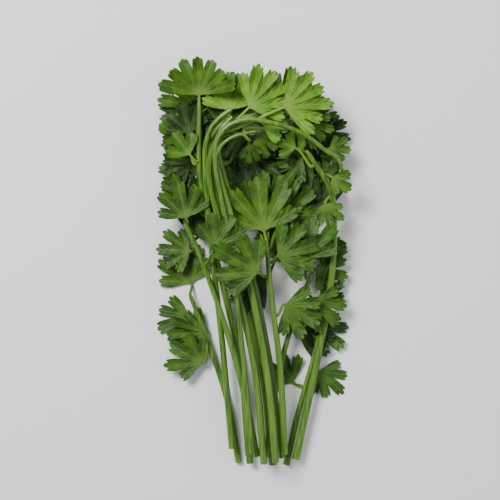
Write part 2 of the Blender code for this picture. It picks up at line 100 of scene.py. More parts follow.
# %% Places of the leaves
LEAVES = {
    # Behind, the lowest layer.
    "back_leaf_left": ("back_stem", 0.97, (-10, 69, 4), 86, 18, "fan", 2, -4, 0.12, -0.05),
    "back_leaf_right": ("back_stem", 1.0, (-1, 70, 4), 78, 17, "fan", 4, 6, 0.1, 0.05),
    "deep_leaf_left": ("back_stem", 0.74, (-3, 31, 3), 62, 22, "fan", 2, 0, 0.1, 0.0),
    "deep_leaf_right": ("right_stem", 0.85, (29, 29, 4), 128, 22, "fan", 0, 0, 0.1, 0.0),
    "low_right_leaf_01": ("low_right_stem", 1.0, (27.4, -27, 4), -36, 16, "fan", -3, 4, 0.15, -0.05),
    "low_right_leaf_02": ("low_right_stem", 0.8, (29.6, -47, 3), -42, 14, "fan", -2, -4, 0.2, 0.0),
    "low_right_leaf_03": ("low_right_stem", 0.6, (18, -52, 3), 128, 15, "hand", 2, 0, 0.2, 0.0),
    "low_left_leaf_01": ("low_left_stem", 1.0, (-27, -8, 4), 112, 19, "fan", 2, -4, 0.15, -0.05),
    "low_left_leaf_02": ("low_left_stem", 0.9, (-26.4, -23, 3.4), 200, 17, "fan", 0, 4, 0.15, 0.0),
    "low_left_leaf_03": ("low_left_stem", 0.7, (-21, -43, 3), 150, 17, "fan", 2, 0, 0.15, 0.0),
    "dark_curled_leaf": ("upper_arch_stem", 0.97, (25.6, 62.6, 6), 14, 14, "fan", 4, -8, 0.25, -0.15),
    "dark_curled_leaf_low": ("lower_arch_stem", 0.93, (27.6, 57.6, 7), -12, 14, "fan", 0, 8, 0.25, -0.15),
    "dull_leaf": ("right_stem", 0.95, (22, 46.6, 7), 202, 16, "fan", -2, 6, 0.15, -0.1),
    "behind_cup_leaf": ("hero_stem", 0.92, (-20, 69, 6), 14, 16, "round", -2, 6, 0.15, -0.05),
    "under_cup_leaf": ("hero_stem", 0.95, (-25, 70, 8), 172, 16, "fan", 4, -6, 0.2, 0.05),
    "lower_left_leaf": ("hero_stem", 0.77, (-28.6, 38.6, 6), 128, 16, "fan", 2, 4, 0.15, 0.0),
    "left_edge_leaf": ("hero_stem", 0.7, (-29.4, 30, 5), 166, 13, "hand", 0, -4, 0.2, 0.0),
    "dark_left_leaf": ("hero_stem", 0.88, (-27.2, 56.4, 9), 108, 14, "fan", 4, 4, 0.2, 0.0),
    "left_light_leaf": ("hero_stem", 0.84, (-31, 56, 12), 152, 11, "round", 8, 6, 0.3, 0.1),
    # The middle layer.
    "edge_leaf_01": ("right_stem", 0.78, (34, 13, 7), -80, 13, "hand", -2, 6, 0.2, -0.1),
    "edge_leaf_02": ("right_stem", 0.87, (34.4, 26.4, 10), -74, 11, "fan", -2, 6, 0.3, -0.1),
    "right_leaf_01": ("mid_right_stem", 1.0, (28, -3, 9), -14, 14, "fan", 0, 4, 0.2, -0.05),
    "right_leaf_02": ("mid_right_stem", 0.9, (26.4, -15, 7), -44, 16.5, "fan", -2, -4, 0.15, 0.0),
    "right_leaf_03": ("mid_right_stem", 0.97, (24, 3, 11), 84, 19, "fan", 2, 0, 0.15, 0.0),
    "mid_left_leaf_01": ("mid_left_stem", 1.0, (-27.6, 20.4, 10), 104, 17, "fan", 4, -4, 0.2, 0.0),
    "mid_left_leaf_02": ("mid_left_stem", 0.9, (-27.4, 6, 9), 176, 15, "fan", 0, 4, 0.15, 0.0),
    "mid_left_leaf_03": ("mid_left_stem", 0.82, (-16, 8, 17), 62, 17, "fan", 4, 2, 0.15, 0.0),
    "toothed_leaf": ("upper_arch_stem", 0.93, (12.6, 70.4, 9), 64, 16.5, "comb", 4, 4, 0.2, 0.05),
    "toothed_leaf_low": ("upper_arch_stem", 0.97, (18.4, 68.2, 11), 36, 12.5, "hand", 2, -4, 0.2, 0.0),
    "pointed_leaf": ("upper_arch_stem", 1.0, (22, 62.4, 13), -30, 15, "comb", 0, 8, 0.25, -0.05),
    "rounded_left_leaf": ("hero_stem", 0.81, (-26, 47.6, 15), 128, 12, "round", 4, 4, 0.3, 0.0),
    "light_edge_leaf": ("right_stem", 0.91, (33, 37.6, 14), -34, 9.5, "round", 2, 6, 0.3, 0.0),
    "edge_leaf_top": ("lower_arch_stem", 0.97, (33.4, 50.4, 16), -4, 9, "fan", 0, 4, 0.3, -0.1),
    "broad_leaf": ("right_stem", 1.0, (23, 49.8, 16), 128, 10.5, "round", 0, -4, 0.2, 0.0),
    "small_round_leaf": ("right_stem", 0.96, (19.6, 50.4, 18), 160, 9, "round", 4, 0, 0.3, 0.0),
    "centre_leaf_01": ("centre_stem", 1.0, (5, 14, 14), 98, 24, "fan", 3, 0, 0.1, 0.0),
    "centre_leaf_02": ("centre_stem", 0.9, (11, 4, 14), 18, 20, "fan", 2, 2, 0.12, 0.0),
    "centre_leaf_03": ("centre_stem", 0.84, (2.4, -3, 15), 150, 21, "fan", 3, 0, 0.12, 0.0),
    "centre_leaf_04": ("centre_stem", 0.72, (14.4, -18, 13), -30, 18, "fan", 0, 2, 0.12, 0.0),
    # The top layer.
    "hand_leaf": ("middle_stem", 1.0, (2, 56, 16.4), -50, 12, "hand", -6, 4, 0.2, -0.15),
    "rounded_leaf": ("middle_stem", 0.96, (4.6, 59, 20), 8, 11, "round", 4, 4, 0.3, 0.1),
    "narrow_leaf": ("thin_arch_stem", 1.0, (-1.4, 51.8, 20), -76, 9, "hand", -12, 6, 0.3, -0.2),
    "right_fan_leaf": ("fan_stem", 0.955, (12.6, 67.2, 20), 16, 21, "comb", 0, 4, 0.2, -0.1),
    "upper_fan_leaf": ("fan_stem", 0.98, (-1.4, 67.4, 21), 42, 20.5, "comb", 2, 2, 0.15, -0.05),
    "central_fan_leaf": ("fan_stem", 0.985, (-10, 67, 16), 92, 17, "fan", 4, -4, 0.2, 0.0),
    "cupped_leaf": ("hero_stem", 1.0, (-23, 72.4, 14.6), 90, 16.4, "cup", 8, 0, 0.6, 0.1),
}
print(len(LEAVES), "leaves")

# %% [markdown]
# A real bunch is denser than sixty pieces. The leaves below fill it in. They lie low down and are
# seen mostly between the others, and they have no solids of their own. One in three is a middle
# green and the rest are the darkest green, which is painted shade for the shadow in the gaps of the bunch.

# %% Places of the leaves that fill the bunch in
FILLING = {
    "under_arch_01": ("back_stem", 0.8, (-3, 43, 3.5), 28, 17, "fan", 0, 0, 0.15, 0.0),
    "under_arch_02": ("upper_arch_stem", 0.88, (5, 59, 6), -80, 17, "comb", -2, 4, 0.2, 0.0),
    "under_arch_03": ("right_stem", 0.93, (27, 39, 6), 178, 16, "fan", 0, -4, 0.2, 0.0),
    "under_arch_04": ("centre_stem", 1.0, (8, 23, 9), 66, 19, "comb", -4, 4, 0.15, 0.0),
    "under_arch_05": ("upper_arch_stem", 0.94, (13, 57, 7), -56, 15, "fan", -4, 6, 0.2, -0.1),
    "under_arch_06": ("back_stem", 0.88, (-1, 50, 6), -24, 15, "hand", 0, 4, 0.2, 0.0),
    "under_arch_07": ("centre_stem", 0.96, (14, 22, 8), 40, 18, "fan", 0, 2, 0.2, 0.0),
    "under_arch_08": ("back_stem", 0.78, (-7, 37, 3), 66, 18, "fan", 0, 0, 0.15, 0.0),
    "under_arch_09": ("back_stem", 0.92, (-5, 57, 5), -74, 17, "comb", 0, 4, 0.15, 0.0),
    "under_arch_10": ("centre_stem", 0.98, (1, 20, 8), 116, 19, "comb", -2, 0, 0.15, 0.0),
    "under_arch_11": ("back_stem", 0.9, (-4, 52, 4), 170, 13, "fan", 0, 0, 0.15, 0.0),
    "left_dark_06": ("mid_left_stem", 1.0, (-29, 22, 5), 70, 18, "fan", 0, 0, 0.15, 0.0),
    "left_dark_07": ("hero_stem", 0.8, (-20, 38, 4), 78, 18, "fan", 0, 0, 0.15, 0.0),
    "top_dark_01": ("upper_arch_stem", 0.97, (16, 66, 4), 46, 17, "fan", 2, 0, 0.15, 0.0),
    "top_dark_02": ("upper_arch_stem", 0.95, (8, 67, 5), 98, 17, "comb", 2, 0, 0.15, 0.0),
    "top_dark_03": ("back_stem", 0.95, (-8, 65, 5), 116, 19, "comb", 2, 0, 0.15, 0.0),
    "top_dark_04": ("hero_stem", 0.9, (-20, 62, 5), 58, 17, "fan", 0, 0, 0.15, 0.0),
    "top_dark_05": ("fan_stem", 0.97, (-12, 64, 9), 66, 18, "fan", 2, 0, 0.15, 0.0),
    "top_dark_06": ("upper_arch_stem", 0.99, (20, 60, 4), 6, 17, "comb", 0, 0, 0.15, 0.0),
    "left_dark_01": ("hero_stem", 0.86, (-27, 55, 5), 158, 14, "fan", 0, 0, 0.15, 0.0),
    "left_dark_02": ("hero_stem", 0.8, (-27, 44, 5), 184, 13, "comb", 0, 0, 0.15, 0.0),
    "left_dark_03": ("hero_stem", 0.92, (-27, 64, 5), 144, 15, "comb", 0, 0, 0.15, 0.0),
    "left_dark_04": ("hero_stem", 0.74, (-26, 35, 4), 204, 13, "hand", 0, 0, 0.15, 0.0),
    "left_dark_05": ("cut_stem", 0.9, (-22, 50, 8), 96, 16, "fan", 2, 4, 0.15, 0.0),
    "right_dark_01": ("right_stem", 0.9, (31, 37, 5), 48, 12, "fan", 0, 0, 0.15, 0.0),
    "right_dark_02": ("lower_arch_stem", 0.96, (31, 49, 7), 30, 11, "hand", 0, 0, 0.15, 0.0),
    "right_dark_03": ("right_stem", 0.84, (30, 22, 5), 112, 19, "comb", 0, 0, 0.15, 0.0),
    "right_dark_04": ("right_stem", 0.7, (31, 1, 5), 66, 14, "fan", 0, 0, 0.15, 0.0),
    "right_dark_05": ("upper_arch_stem", 1.0, (23, 60, 5), -62, 16, "comb", 0, 0, 0.15, 0.0),
    "right_dark_06": ("right_stem", 0.62, (31, -14, 5), 50, 12, "hand", 0, 0, 0.15, 0.0),
    "low_dark_01": ("low_left_stem", 0.8, (-20, -30, 3), 170, 17, "comb", 0, 0, 0.15, 0.0),
    "low_dark_02": ("mid_right_stem", 0.8, (20, -30, 4), 6, 17, "comb", 0, 0, 0.15, 0.0),
    "middle_dark_01": ("mid_left_stem", 0.95, (-24, 12, 6), 60, 19, "fan", 0, 0, 0.15, 0.0),
    "middle_dark_02": ("centre_stem", 0.85, (10, 2, 8), 60, 20, "fan", 0, 0, 0.15, 0.0),
    "middle_dark_03": ("centre_stem", 0.8, (6, -6, 8), 200, 18, "comb", 0, 0, 0.15, 0.0),
}
print(len(FILLING), "more leaves")

# %% [markdown]
# ## The shape of a leaf, drawn flat
#
# A parsley leaflet is a fan of lobes round the end of its stalk. Each lobe has a rib down its
# middle and ends in a few rounded teeth. A polar plot draws this simply: for every angle from
# the base, how far out is the edge? A drawing traced by hand would do as well, but a formula
# gives every form of leaf from a few numbers, and the ribs and the teeth come at known angles.

# %% Forms: each lobe's angle from the midrib, its share of the leaf's length, its half angle
FORMS = {
    "cup": [(-72, 0.98, 14), (-46, 0.96, 13), (-22, 1.0, 12), (2, 0.94, 12), (26, 1.0, 12),
            (49, 0.97, 13), (74, 1.0, 14)],
    "fan": [(-64, 0.72, 16), (-33, 0.92, 15), (0, 1.0, 16), (33, 0.92, 15), (64, 0.72, 16)],
    "comb": [(-58, 0.76, 13), (-34, 0.88, 12), (-11, 0.98, 11.5), (12, 1.0, 11.5), (35, 0.93, 12),
             (59, 0.8, 13)],
    "hand": [(-48, 0.82, 17), (-15, 1.0, 15), (17, 0.96, 15), (48, 0.74, 16)],
    "round": [(-44, 0.84, 22), (0, 1.0, 22), (44, 0.84, 22)],
}
SINUS = {"cup": 0.5, "fan": 0.52, "comb": 0.42, "hand": 0.42, "round": 0.6}
SOLID_SAMPLES = (-1.0, -0.5, 0.0, 0.5)   # where the plain solids sample a lobe
SOLID_FULLNESS = 3.0     # how square the plain solids make the end of a lobe
TEETH = {"cup": 0.05, "fan": 0.13, "comb": 0.12, "hand": 0.13, "round": 0.1}
REAL_CUT = {"cup": 0.66, "fan": 0.44, "comb": 0.34, "hand": 0.34, "round": 0.54}
FULLNESS = 4.4           # how square the end of a real lobe is
TOOTH_TURN = 1.5 * math.pi   # three teeth to a lobe


def solid_reach(form, angle):
    """How far out the plain solid's edge is at this angle, as a share of the leaf's length."""
    reach = SINUS[form]
    for middle, length, half in FORMS[form]:
        reach = max(reach, length - (length - SINUS[form]) * abs((angle - middle) / half) ** SOLID_FULLNESS)
    return reach


def leaf_reach(form, angle):
    """How far out the real edge is: fuller lobes, deeper cuts and rounded teeth."""
    cut = REAL_CUT[form]
    reach = cut
    for middle, length, half in FORMS[form]:
        x = abs(angle - middle) / half
        if x < 1:
            tooth = 1 - TEETH[form] * (1 - abs(math.cos(TOOTH_TURN * x)) ** 0.6)
            reach = max(reach, (cut + (length - cut) * (1 - x ** FULLNESS)) * tooth)
    return reach


print("a fan leaf reaches", [round(leaf_reach("fan", a), 2) for a in (-64, -48, -33, 0)])

# %% [markdown]
# ## One flat blade of each form
#
# Each blade starts as a grid. Its columns become the angles and its rows the way out from the
# stalk to the edge, so the mesh runs with the ribs as the real leaf's cells do. Columns crowd
# in near each rib, where the surface creases. The grid's own UV map is refilled with how far
# each point is from its rib and from the stalk, which is what the leaf's colours follow.

# %% The flat blades
RIB_SAMPLES = (0, 0.05, 0.11, 0.18, 0.26, 0.333, 0.42, 0.52, 0.62, 0.72, 0.82, 0.92)
ROWS = (0.045, 0.1, 0.16, 0.23, 0.3, 0.37, 0.44, 0.51, 0.58, 0.65, 0.72, 0.785, 0.84, 0.89,
        0.93, 0.965, 1.0)


def deselect():
    if bpy.context.mode != "OBJECT":
        bpy.ops.object.mode_set(mode="OBJECT")
    bpy.ops.object.select_all(action="DESELECT")


def nearest_lobe(form, angle):
    return min(FORMS[form], key=lambda lobe: abs(angle - lobe[0]) / lobe[2])


def column_angles(form):
    angles = set()
    for middle, _, half in FORMS[form]:
        for x in RIB_SAMPLES + (1.0,):
            angles |= {round(middle + x * half, 3), round(middle - x * half, 3)}
    tidy = []
    for angle in sorted(angles):
        if not tidy or angle - tidy[-1] > 0.35:
            tidy.append(angle)
    return tidy


def flat_blade(form):
    """A grid bent into the outline of this form, one unit long, with its UV map refilled."""
    angles = column_angles(form)
    deselect()
    bpy.ops.mesh.primitive_grid_add(x_subdivisions=len(angles) - 1, y_subdivisions=len(ROWS) - 1, size=2)
    blade = bpy.context.object
    blade.name = f"form_{form}"
    mesh = blade.data
    where = []
    for vertex in mesh.vertices:
        column = round((vertex.co.x + 1) / 2 * (len(angles) - 1))
        row = round((vertex.co.y + 1) / 2 * (len(ROWS) - 1))
        angle = angles[column]
        reach = ROWS[row] * leaf_reach(form, angle)
        vertex.co = (reach * math.cos(math.radians(angle)), reach * math.sin(math.radians(angle)), 0)
        lobe = nearest_lobe(form, angle)
        where.append((min(1.0, abs(angle - lobe[0]) / lobe[2]), reach))
    layer = mesh.uv_layers[0]
    layer.name = "leaf"
    for loop in mesh.loops:
        layer.data[loop.index].uv = where[loop.vertex_index]
    return blade


blades = {form: flat_blade(form) for form in FORMS}
for form, blade in blades.items():
    print(form, len(blade.data.vertices), "points")

# %% [markdown]
# ## Leaves take their shape in the air
#
# No leaf is flat. Its sides cup, its length arches, each lobe folds along its own rib, and the
# lobes' tips lift or hang by different amounts. All of that is a height above the flat blade,
# so one function gives it. A little noise puckers the skin between the veins. Cloth simulation
# would fold such a small stiff thing in ways that a fresh leaf doesn't.

# %% How a blade bends
CREASE = 0.42            # how steeply a lobe folds up from its rib
LIFT = 0.07              # how much the lobes' tips stand apart, as a share of the length
CURL = 0.16              # how much the ends of the lobes curl
GROWTH = 0.1             # how much longer or shorter than its form a lobe may be
PUCKER = 0.011           # how deep the skin puckers between the veins
PUCKER_WAVES = 28        # how fast the puckers follow each other on the way out
PUCKER_SLANT = 7         # and how much they slant away from the rib
EASE_FROM = 1.2          # in millimetres, where a blade starts to ease off above the floor
LOWEST = 0.35            # and the lowest that its middle gets


def bent_height(form, spec, angle, reach, moods):
    """The height of the middle of the blade at this angle and reach, as shares of its length."""
    along_rib = reach * math.cos(math.radians(angle))
    across = reach * math.sin(math.radians(angle))
    cup, arch = spec[8], spec[9]
    height = cup * across ** 2 + arch * along_rib ** 2
    lobe = nearest_lobe(form, angle)
    x = min(1.0, abs(angle - lobe[0]) / lobe[2])
    half_width = reach * math.radians(lobe[2])
    fold = min(1.0, reach / SINUS[form])
    height += CREASE * half_width * fold * (x ** 1.5 - 0.4)
    out = max(0.0, (reach - REAL_CUT[form]) / (1 - REAL_CUT[form]))
    lift, curl, _ = moods[FORMS[form].index(lobe)]
    height += LIFT * lift * out + CURL * curl * out ** 2
    height += PUCKER * math.sin(PUCKER_WAVES * reach - PUCKER_SLANT * x) * min(1.0, 3 * x) * fold
    return height


def above_floor(height):
    """This height in millimetres, but easing off just above the floor where it would go under."""
    room = EASE_FROM - LOWEST
    return height if height > EASE_FROM else LOWEST + room * math.exp((height - EASE_FROM) / room)


def turn_of(spec):
    """The turn that takes the flat blade to its heading, pitch and roll."""
    turn = Matrix.Rotation(math.radians(spec[3]), 3, "Z")
    turn = turn @ Matrix.Rotation(math.radians(-spec[6]), 3, "Y")
    return turn @ Matrix.Rotation(math.radians(spec[7]), 3, "X")


print("creases, lifts and curls are set")

# %% [markdown]
# ## Reading the true places from the frame
#
# Every solid was raised or shifted a little when it was laid. The tip of each solid blade is
# its furthest point along its heading, so the step from where the tip would be to where it is
# gives the true place of the leaf. The foot of a stalk is the end nearest to its stem.

# %% Points of the solids, and the routes where they really are
STALK_SIDES = 6


def solid_points(name):
    """The points of a solid in millimetres, each once."""
    points = np.empty(len(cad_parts[name].data.vertices) * 3)
    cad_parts[name].data.vertices.foreach_get("co", points)
    return np.unique(np.round(points.reshape(-1, 3) / MM, 3), axis=0)


def smooth_route(points, steps):
    """Catmull-Rom points through the route, `steps` to each stretch."""
    held = [Vector(p) for p in points]
    held = [2 * held[0] - held[1], *held, 2 * held[-1] - held[-2]]
    route = []
    for i in range(1, len(held) - 2):
        a, b, c, d = held[i - 1:i + 3]
        for k in range(steps):
            t = k / steps
            route.append(0.5 * (2 * b + (c - a) * t + (2 * a - 5 * b + 4 * c - d) * t * t
                                + (3 * b - 3 * c + d - a) * t ** 3))
    route.append(held[-2])
    return route


def planned_stem(name):
    """The points of the stem's six-sided solid, where it was planned to lie."""
    middles, first, last = STEMS[name]
    route = smooth_route(middles, 3)
    points = []
    for i, centre in enumerate(route):
        ahead = (route[min(i + 1, len(route) - 1)] - route[max(i - 1, 0)]).normalized()
        side = ahead.cross(Vector((0, 0, 1))).normalized()
        up = side.cross(ahead)
        radius = first + (last - first) * i / (len(route) - 1)
        for k in range(STALK_SIDES):
            angle = math.radians(30 + 60 * k)
            points.append(centre + radius * (math.cos(angle) * side + math.sin(angle) * up))
    return np.array(points)


def drift_of(name):
    """How far a stem's solid lies from where it was planned, from the two boxes."""
    plan, laid = planned_stem(name), solid_points(name)
    gaps = (laid.min(axis=0) + laid.max(axis=0) - plan.min(axis=0) - plan.max(axis=0)) / 2
    return Vector(gaps)


def true_route(name, steps):
    """The stem's route, moved to where its solid lies."""
    return [p + drift_of(name) for p in smooth_route(STEMS[name][0], steps)]


def true_base(name, spec):
    """The base of the blade, where the solid lies."""
    turn, length, form = turn_of(spec), spec[4], spec[5]
    ahead = Matrix.Rotation(math.radians(spec[3]), 3, "Z") @ Vector((1, 0, 0))
    tips = []
    for middle, _, half in FORMS[form]:
        for share in SOLID_SAMPLES:
            angle = middle + half * share
            reach = solid_reach(form, angle) * length
            u, v = reach * math.cos(math.radians(angle)), reach * math.sin(math.radians(angle))
            tips.append(turn @ Vector((u, v, (spec[8] * v ** 2 + spec[9] * u ** 2) / length)))
    planned = max(tips, key=lambda tip: tip.dot(ahead))
    points = solid_points(name)
    far = points[np.argmax(points @ np.array(ahead))]
    gaps = np.linalg.norm(points - far, axis=1)
    twin = points[np.argsort(gaps)[1]]
    return Vector((far + twin) / 2) - planned


def along(route, share):
    """The point and the direction at this share of the route's length."""
    lengths = [(b - a).length for a, b in zip(route, route[1:])]
    left = share * sum(lengths)
    for a, b, length in zip(route, route[1:], lengths):
        if left <= length:
            return a.lerp(b, left / length), (b - a).normalized()
        left -= length
    return route[-1].copy(), (route[-1] - route[-2]).normalized()


def true_foot(name, route):
    """The middle of the stalk's end by the stem."""
    points = solid_points(name)
    line = np.array(route)
    gaps = np.linalg.norm(points[:, None, :] - line[None, :, :], axis=2)
    nearest = points[np.argsort(gaps.min(axis=1))[:STALK_SIDES]]
    foot = nearest.mean(axis=0)
    return Vector(foot), Vector(line[np.argmin(np.linalg.norm(line - foot, axis=1))])


routes = {name: true_route(name, 10) for name in STEMS}
bases = {name: true_base(name, spec) for name, spec in LEAVES.items()}
origin_shift = drift_of("hero_stem")
origin_shift.z = 0
bases.update({name: Vector(spec[2]) + origin_shift for name, spec in FILLING.items()})
drift = [round((bases[name] - Vector(spec[2])).length, 1) for name, spec in LEAVES.items()]
print("the leaves lie this far from their planned places, in mm:", drift)

# %% [markdown]
# ## The skin of a leaf
#
# A parsley leaf is a waxy green skin over a thin wet body. Light goes a little way into it, so
# the shader has some subsurface. The ribs and the veins that run off them are paler, and so
# is the base. The UV map says how far a point is from its rib and from the
# stalk, so the vein pattern follows each lobe. Noise on Object coordinates mottles the green.

# %% Small helpers for materials
def new_material(name):
    made = bpy.data.materials.new(name)
    made.use_nodes = True
    return made, made.node_tree, made.node_tree.nodes["Principled BSDF"]


def math_node(tree, operation, first, second=None, clamp=False):
    node = tree.nodes.new("ShaderNodeMath")
    node.operation, node.use_clamp = operation, clamp
    for socket, value in zip(node.inputs, (first, second)):
        if value is None:
            continue
        if isinstance(value, (int, float)):
            socket.default_value = value
        else:
            tree.links.new(value, socket)
    return node.outputs[0]


def ramp(tree, value, low, high):
    """0 at low, 1 at high, smooth between."""
    node = tree.nodes.new("ShaderNodeMapRange")
    node.interpolation_type = "SMOOTHSTEP"
    node.inputs["From Min"].default_value = low
    node.inputs["From Max"].default_value = high
    tree.links.new(value, node.inputs["Value"])
    return node.outputs["Result"]


def mixed(tree, share, first, second):
    """The first colour where share is 0, the second where it is 1."""
    node = tree.nodes.new("ShaderNodeMix")
    node.data_type = "RGBA"
    tree.links.new(share, node.inputs["Factor"])
    for socket, value in zip((node.inputs["A"], node.inputs["B"]), (first, second)):
        if isinstance(value, tuple):
            socket.default_value = (*value, 1.0)
        else:
            tree.links.new(value, socket)
    return node.outputs["Result"]


def noise(tree, scale, detail, stretch=(1, 1, 1)):
    """Noise on Object coordinates, with its scale in waves to a metre."""
    place = tree.nodes.new("ShaderNodeTexCoord")
    mapping = tree.nodes.new("ShaderNodeMapping")
    mapping.inputs["Scale"].default_value = stretch
    node = tree.nodes.new("ShaderNodeTexNoise")
    node.inputs["Scale"].default_value = scale
    node.inputs["Detail"].default_value = detail
    tree.links.new(place.outputs["Object"], mapping.inputs["Vector"])
    tree.links.new(mapping.outputs["Vector"], node.inputs["Vector"])
    return node.outputs["Fac"]


def bump(tree, shader, height, strength, distance):
    node = tree.nodes.new("ShaderNodeBump")
    node.inputs["Strength"].default_value = strength
    node.inputs["Distance"].default_value = distance
    tree.links.new(height, node.inputs["Height"])
    tree.links.new(node.outputs["Normal"], shader.inputs["Normal"])


print("material helpers are ready")

# %% The leaf materials
VEINS_PER_LENGTH = 8.5
VEIN_SLANT = 2.1


def leaf_material(name, deep, fresh, rib):
    made, tree, shader = new_material(name)
    uv = tree.nodes.new("ShaderNodeUVMap")
    uv.uv_map = "leaf"
    split = tree.nodes.new("ShaderNodeSeparateXYZ")
    tree.links.new(uv.outputs["UV"], split.inputs["Vector"])
    from_rib, from_stalk = split.outputs["X"], split.outputs["Y"]

    mottle = ramp(tree, noise(tree, 170, 3), 0.35, 0.68)
    green = mixed(tree, mottle, deep, fresh)
    wave = math_node(tree, "MULTIPLY", from_stalk, VEINS_PER_LENGTH)
    wave = math_node(tree, "SUBTRACT", wave, math_node(tree, "MULTIPLY", from_rib, VEIN_SLANT))
    wave = math_node(tree, "PINGPONG", wave, 0.5)
    vein = math_node(tree, "SUBTRACT", 1.0, ramp(tree, wave, 0.0, 0.11))
    across = math_node(tree, "MULTIPLY", from_rib, from_stalk)
    on_rib = math_node(tree, "SUBTRACT", 1.0, ramp(tree, across, 0.012, 0.06))
    at_base = math_node(tree, "SUBTRACT", 1.0, ramp(tree, from_stalk, 0.05, 0.42))
    green = mixed(tree, math_node(tree, "MULTIPLY", vein, 0.3), green, rib)
    green = mixed(tree, math_node(tree, "MULTIPLY", on_rib, 0.55), green, rib)
    green = mixed(tree, math_node(tree, "MULTIPLY", at_base, 0.75), green, rib)
    tree.links.new(green, shader.inputs["Base Color"])

    cells = noise(tree, 2600, 2)
    rough = math_node(tree, "MULTIPLY_ADD", cells, 0.16)
    rough.node.inputs[2].default_value = 0.43
    tree.links.new(rough, shader.inputs["Roughness"])
    height = math_node(tree, "SUBTRACT", math_node(tree, "MULTIPLY", cells, 0.5), vein)
    bump(tree, shader, height, 0.35, 0.00012)
    shader.inputs["Subsurface Weight"].default_value = 0.12
    shader.inputs["Subsurface Radius"].default_value = (0.5, 1.0, 0.2)
    shader.inputs["Subsurface Scale"].default_value = 0.0012
    shader.inputs["Specular IOR Level"].default_value = 0.3
    return made


# Four copies of one leaf skin, from light to dark. The light ones are painted light for the leaves on top,
# and the darkest is painted shade for the leaves underneath.
leaf_lit_light = leaf_material("leaf_lit_light", (0.07, 0.185, 0.006), (0.14, 0.31, 0.014), (0.2, 0.35, 0.038))
leaf_half_lit = leaf_material("leaf_half_lit", (0.03, 0.088, 0.003), (0.07, 0.17, 0.006), (0.13, 0.24, 0.02))
leaf_mid = leaf_material("leaf_mid", (0.019, 0.062, 0.002), (0.05, 0.13, 0.005), (0.09, 0.18, 0.014))
leaf_dark = leaf_material("leaf_dark", (0.007, 0.026, 0.002), (0.02, 0.055, 0.004), (0.04, 0.09, 0.01))
print("four greens of leaf")

# %% [markdown]
# ## The skin of a stem
#
# Stems are paler and yellower than leaves, with fine streaks that run along them. The streaks
# are noise stretched along the length of the bunch. The cut ends are pale, wet and spongy.

# %% The stem materials
def stem_material():
    made, tree, shader = new_material("stem_green")
    streaks = ramp(tree, noise(tree, 900, 3, (1, 0.06, 1)), 0.36, 0.66)
    patches = ramp(tree, noise(tree, 55, 2), 0.3, 0.72)
    skin = mixed(tree, streaks, (0.03, 0.10, 0.003), (0.095, 0.215, 0.009))
    skin = mixed(tree, math_node(tree, "MULTIPLY", patches, 0.5), skin, (0.13, 0.25, 0.018))
    tree.links.new(skin, shader.inputs["Base Color"])
    rough = math_node(tree, "MULTIPLY_ADD", streaks, 0.12)
    rough.node.inputs[2].default_value = 0.34
    tree.links.new(rough, shader.inputs["Roughness"])
    bump(tree, shader, streaks, 0.25, 0.0001)
    shader.inputs["Subsurface Weight"].default_value = 0.25
    shader.inputs["Subsurface Radius"].default_value = (0.6, 1.0, 0.3)
    shader.inputs["Subsurface Scale"].default_value = 0.0015
    return made


def cut_material():
    made, tree, shader = new_material("cut_flesh")
    pith = ramp(tree, noise(tree, 3200, 3), 0.35, 0.7)
    tree.links.new(mixed(tree, pith, (0.40, 0.52, 0.20), (0.62, 0.70, 0.40)), shader.inputs["Base Color"])
    shader.inputs["Roughness"].default_value = 0.32
    bump(tree, shader, pith, 0.5, 0.0002)
    shader.inputs["Subsurface Weight"].default_value = 0.3
    shader.inputs["Subsurface Radius"].default_value = (0.8, 1.0, 0.5)
    shader.inputs["Subsurface Scale"].default_value = 0.0015
    return made


stem_green, cut_flesh = stem_material(), cut_material()
print("stem skin and cut flesh")

# %% [markdown]
# ## Stems
#
# A stem is a ribbed rod that tapers from its cut end. A curve with a ribbed circle swept along
# it gives the ribs and the taper at once, and then becomes a mesh. The cut end is one flat
# face, so it is inset and pressed in a little, as the soft middle of a cut stem shrinks back.

# %% The ribbed circle that every stem is swept from
RIBS = 8
RIB_HEIGHT = 0.055
PROFILE_POINTS = 32

deselect()
bpy.ops.curve.primitive_nurbs_circle_add(radius=1)
stem_profile = bpy.context.object
stem_profile.name = "stem_profile"
stem_profile.data.splines.clear()
loop = stem_profile.data.splines.new("POLY")
loop.points.add(PROFILE_POINTS - 1)
for k, point in enumerate(loop.points):
    angle = 2 * math.pi * k / PROFILE_POINTS
    radius = 1 + RIB_HEIGHT * math.cos(RIBS * angle)
    point.co = (radius * math.cos(angle), radius * math.sin(angle), 0, 1)
loop.use_cyclic_u = True
stem_profile.hide_render = True
print("ribbed circle with", RIBS, "ribs")

# %% Sweeping a rod
END_REACH = 0.6          # the flat end's middle is this near to the end of the route, in millimetres
FLESH_REACH = 1.2        # and the pale flesh reaches this far round it
CUT_STEPS = ((0.16, 0), (0.22, -0.12), (0.3, -0.1))   # how wide and how deep each inset is


def swept_rod(name, route, radii):
    """A mesh rod through the route in millimetres, with a radius for each point."""
    deselect()
    bpy.ops.curve.primitive_bezier_curve_add()
    rod = bpy.context.object
    rod.name = name
    rod.data.splines.clear()
    spline = rod.data.splines.new("POLY")
    spline.points.add(len(route) - 1)
    for point, place, radius in zip(spline.points, route, radii):
        point.co = (*(place * MM), 1)
        point.radius = radius * MM
    rod.data.bevel_mode = "OBJECT"
    rod.data.bevel_object = stem_profile
    rod.data.use_fill_caps = True
    bpy.ops.object.convert(target="MESH")
    rod = bpy.context.object
    bpy.ops.object.mode_set(mode="EDIT")
    bpy.ops.mesh.select_all(action="SELECT")
    bpy.ops.mesh.remove_doubles(threshold=1e-6)
    bpy.ops.mesh.normals_make_consistent(inside=False)
    bpy.ops.object.mode_set(mode="OBJECT")
    return rod


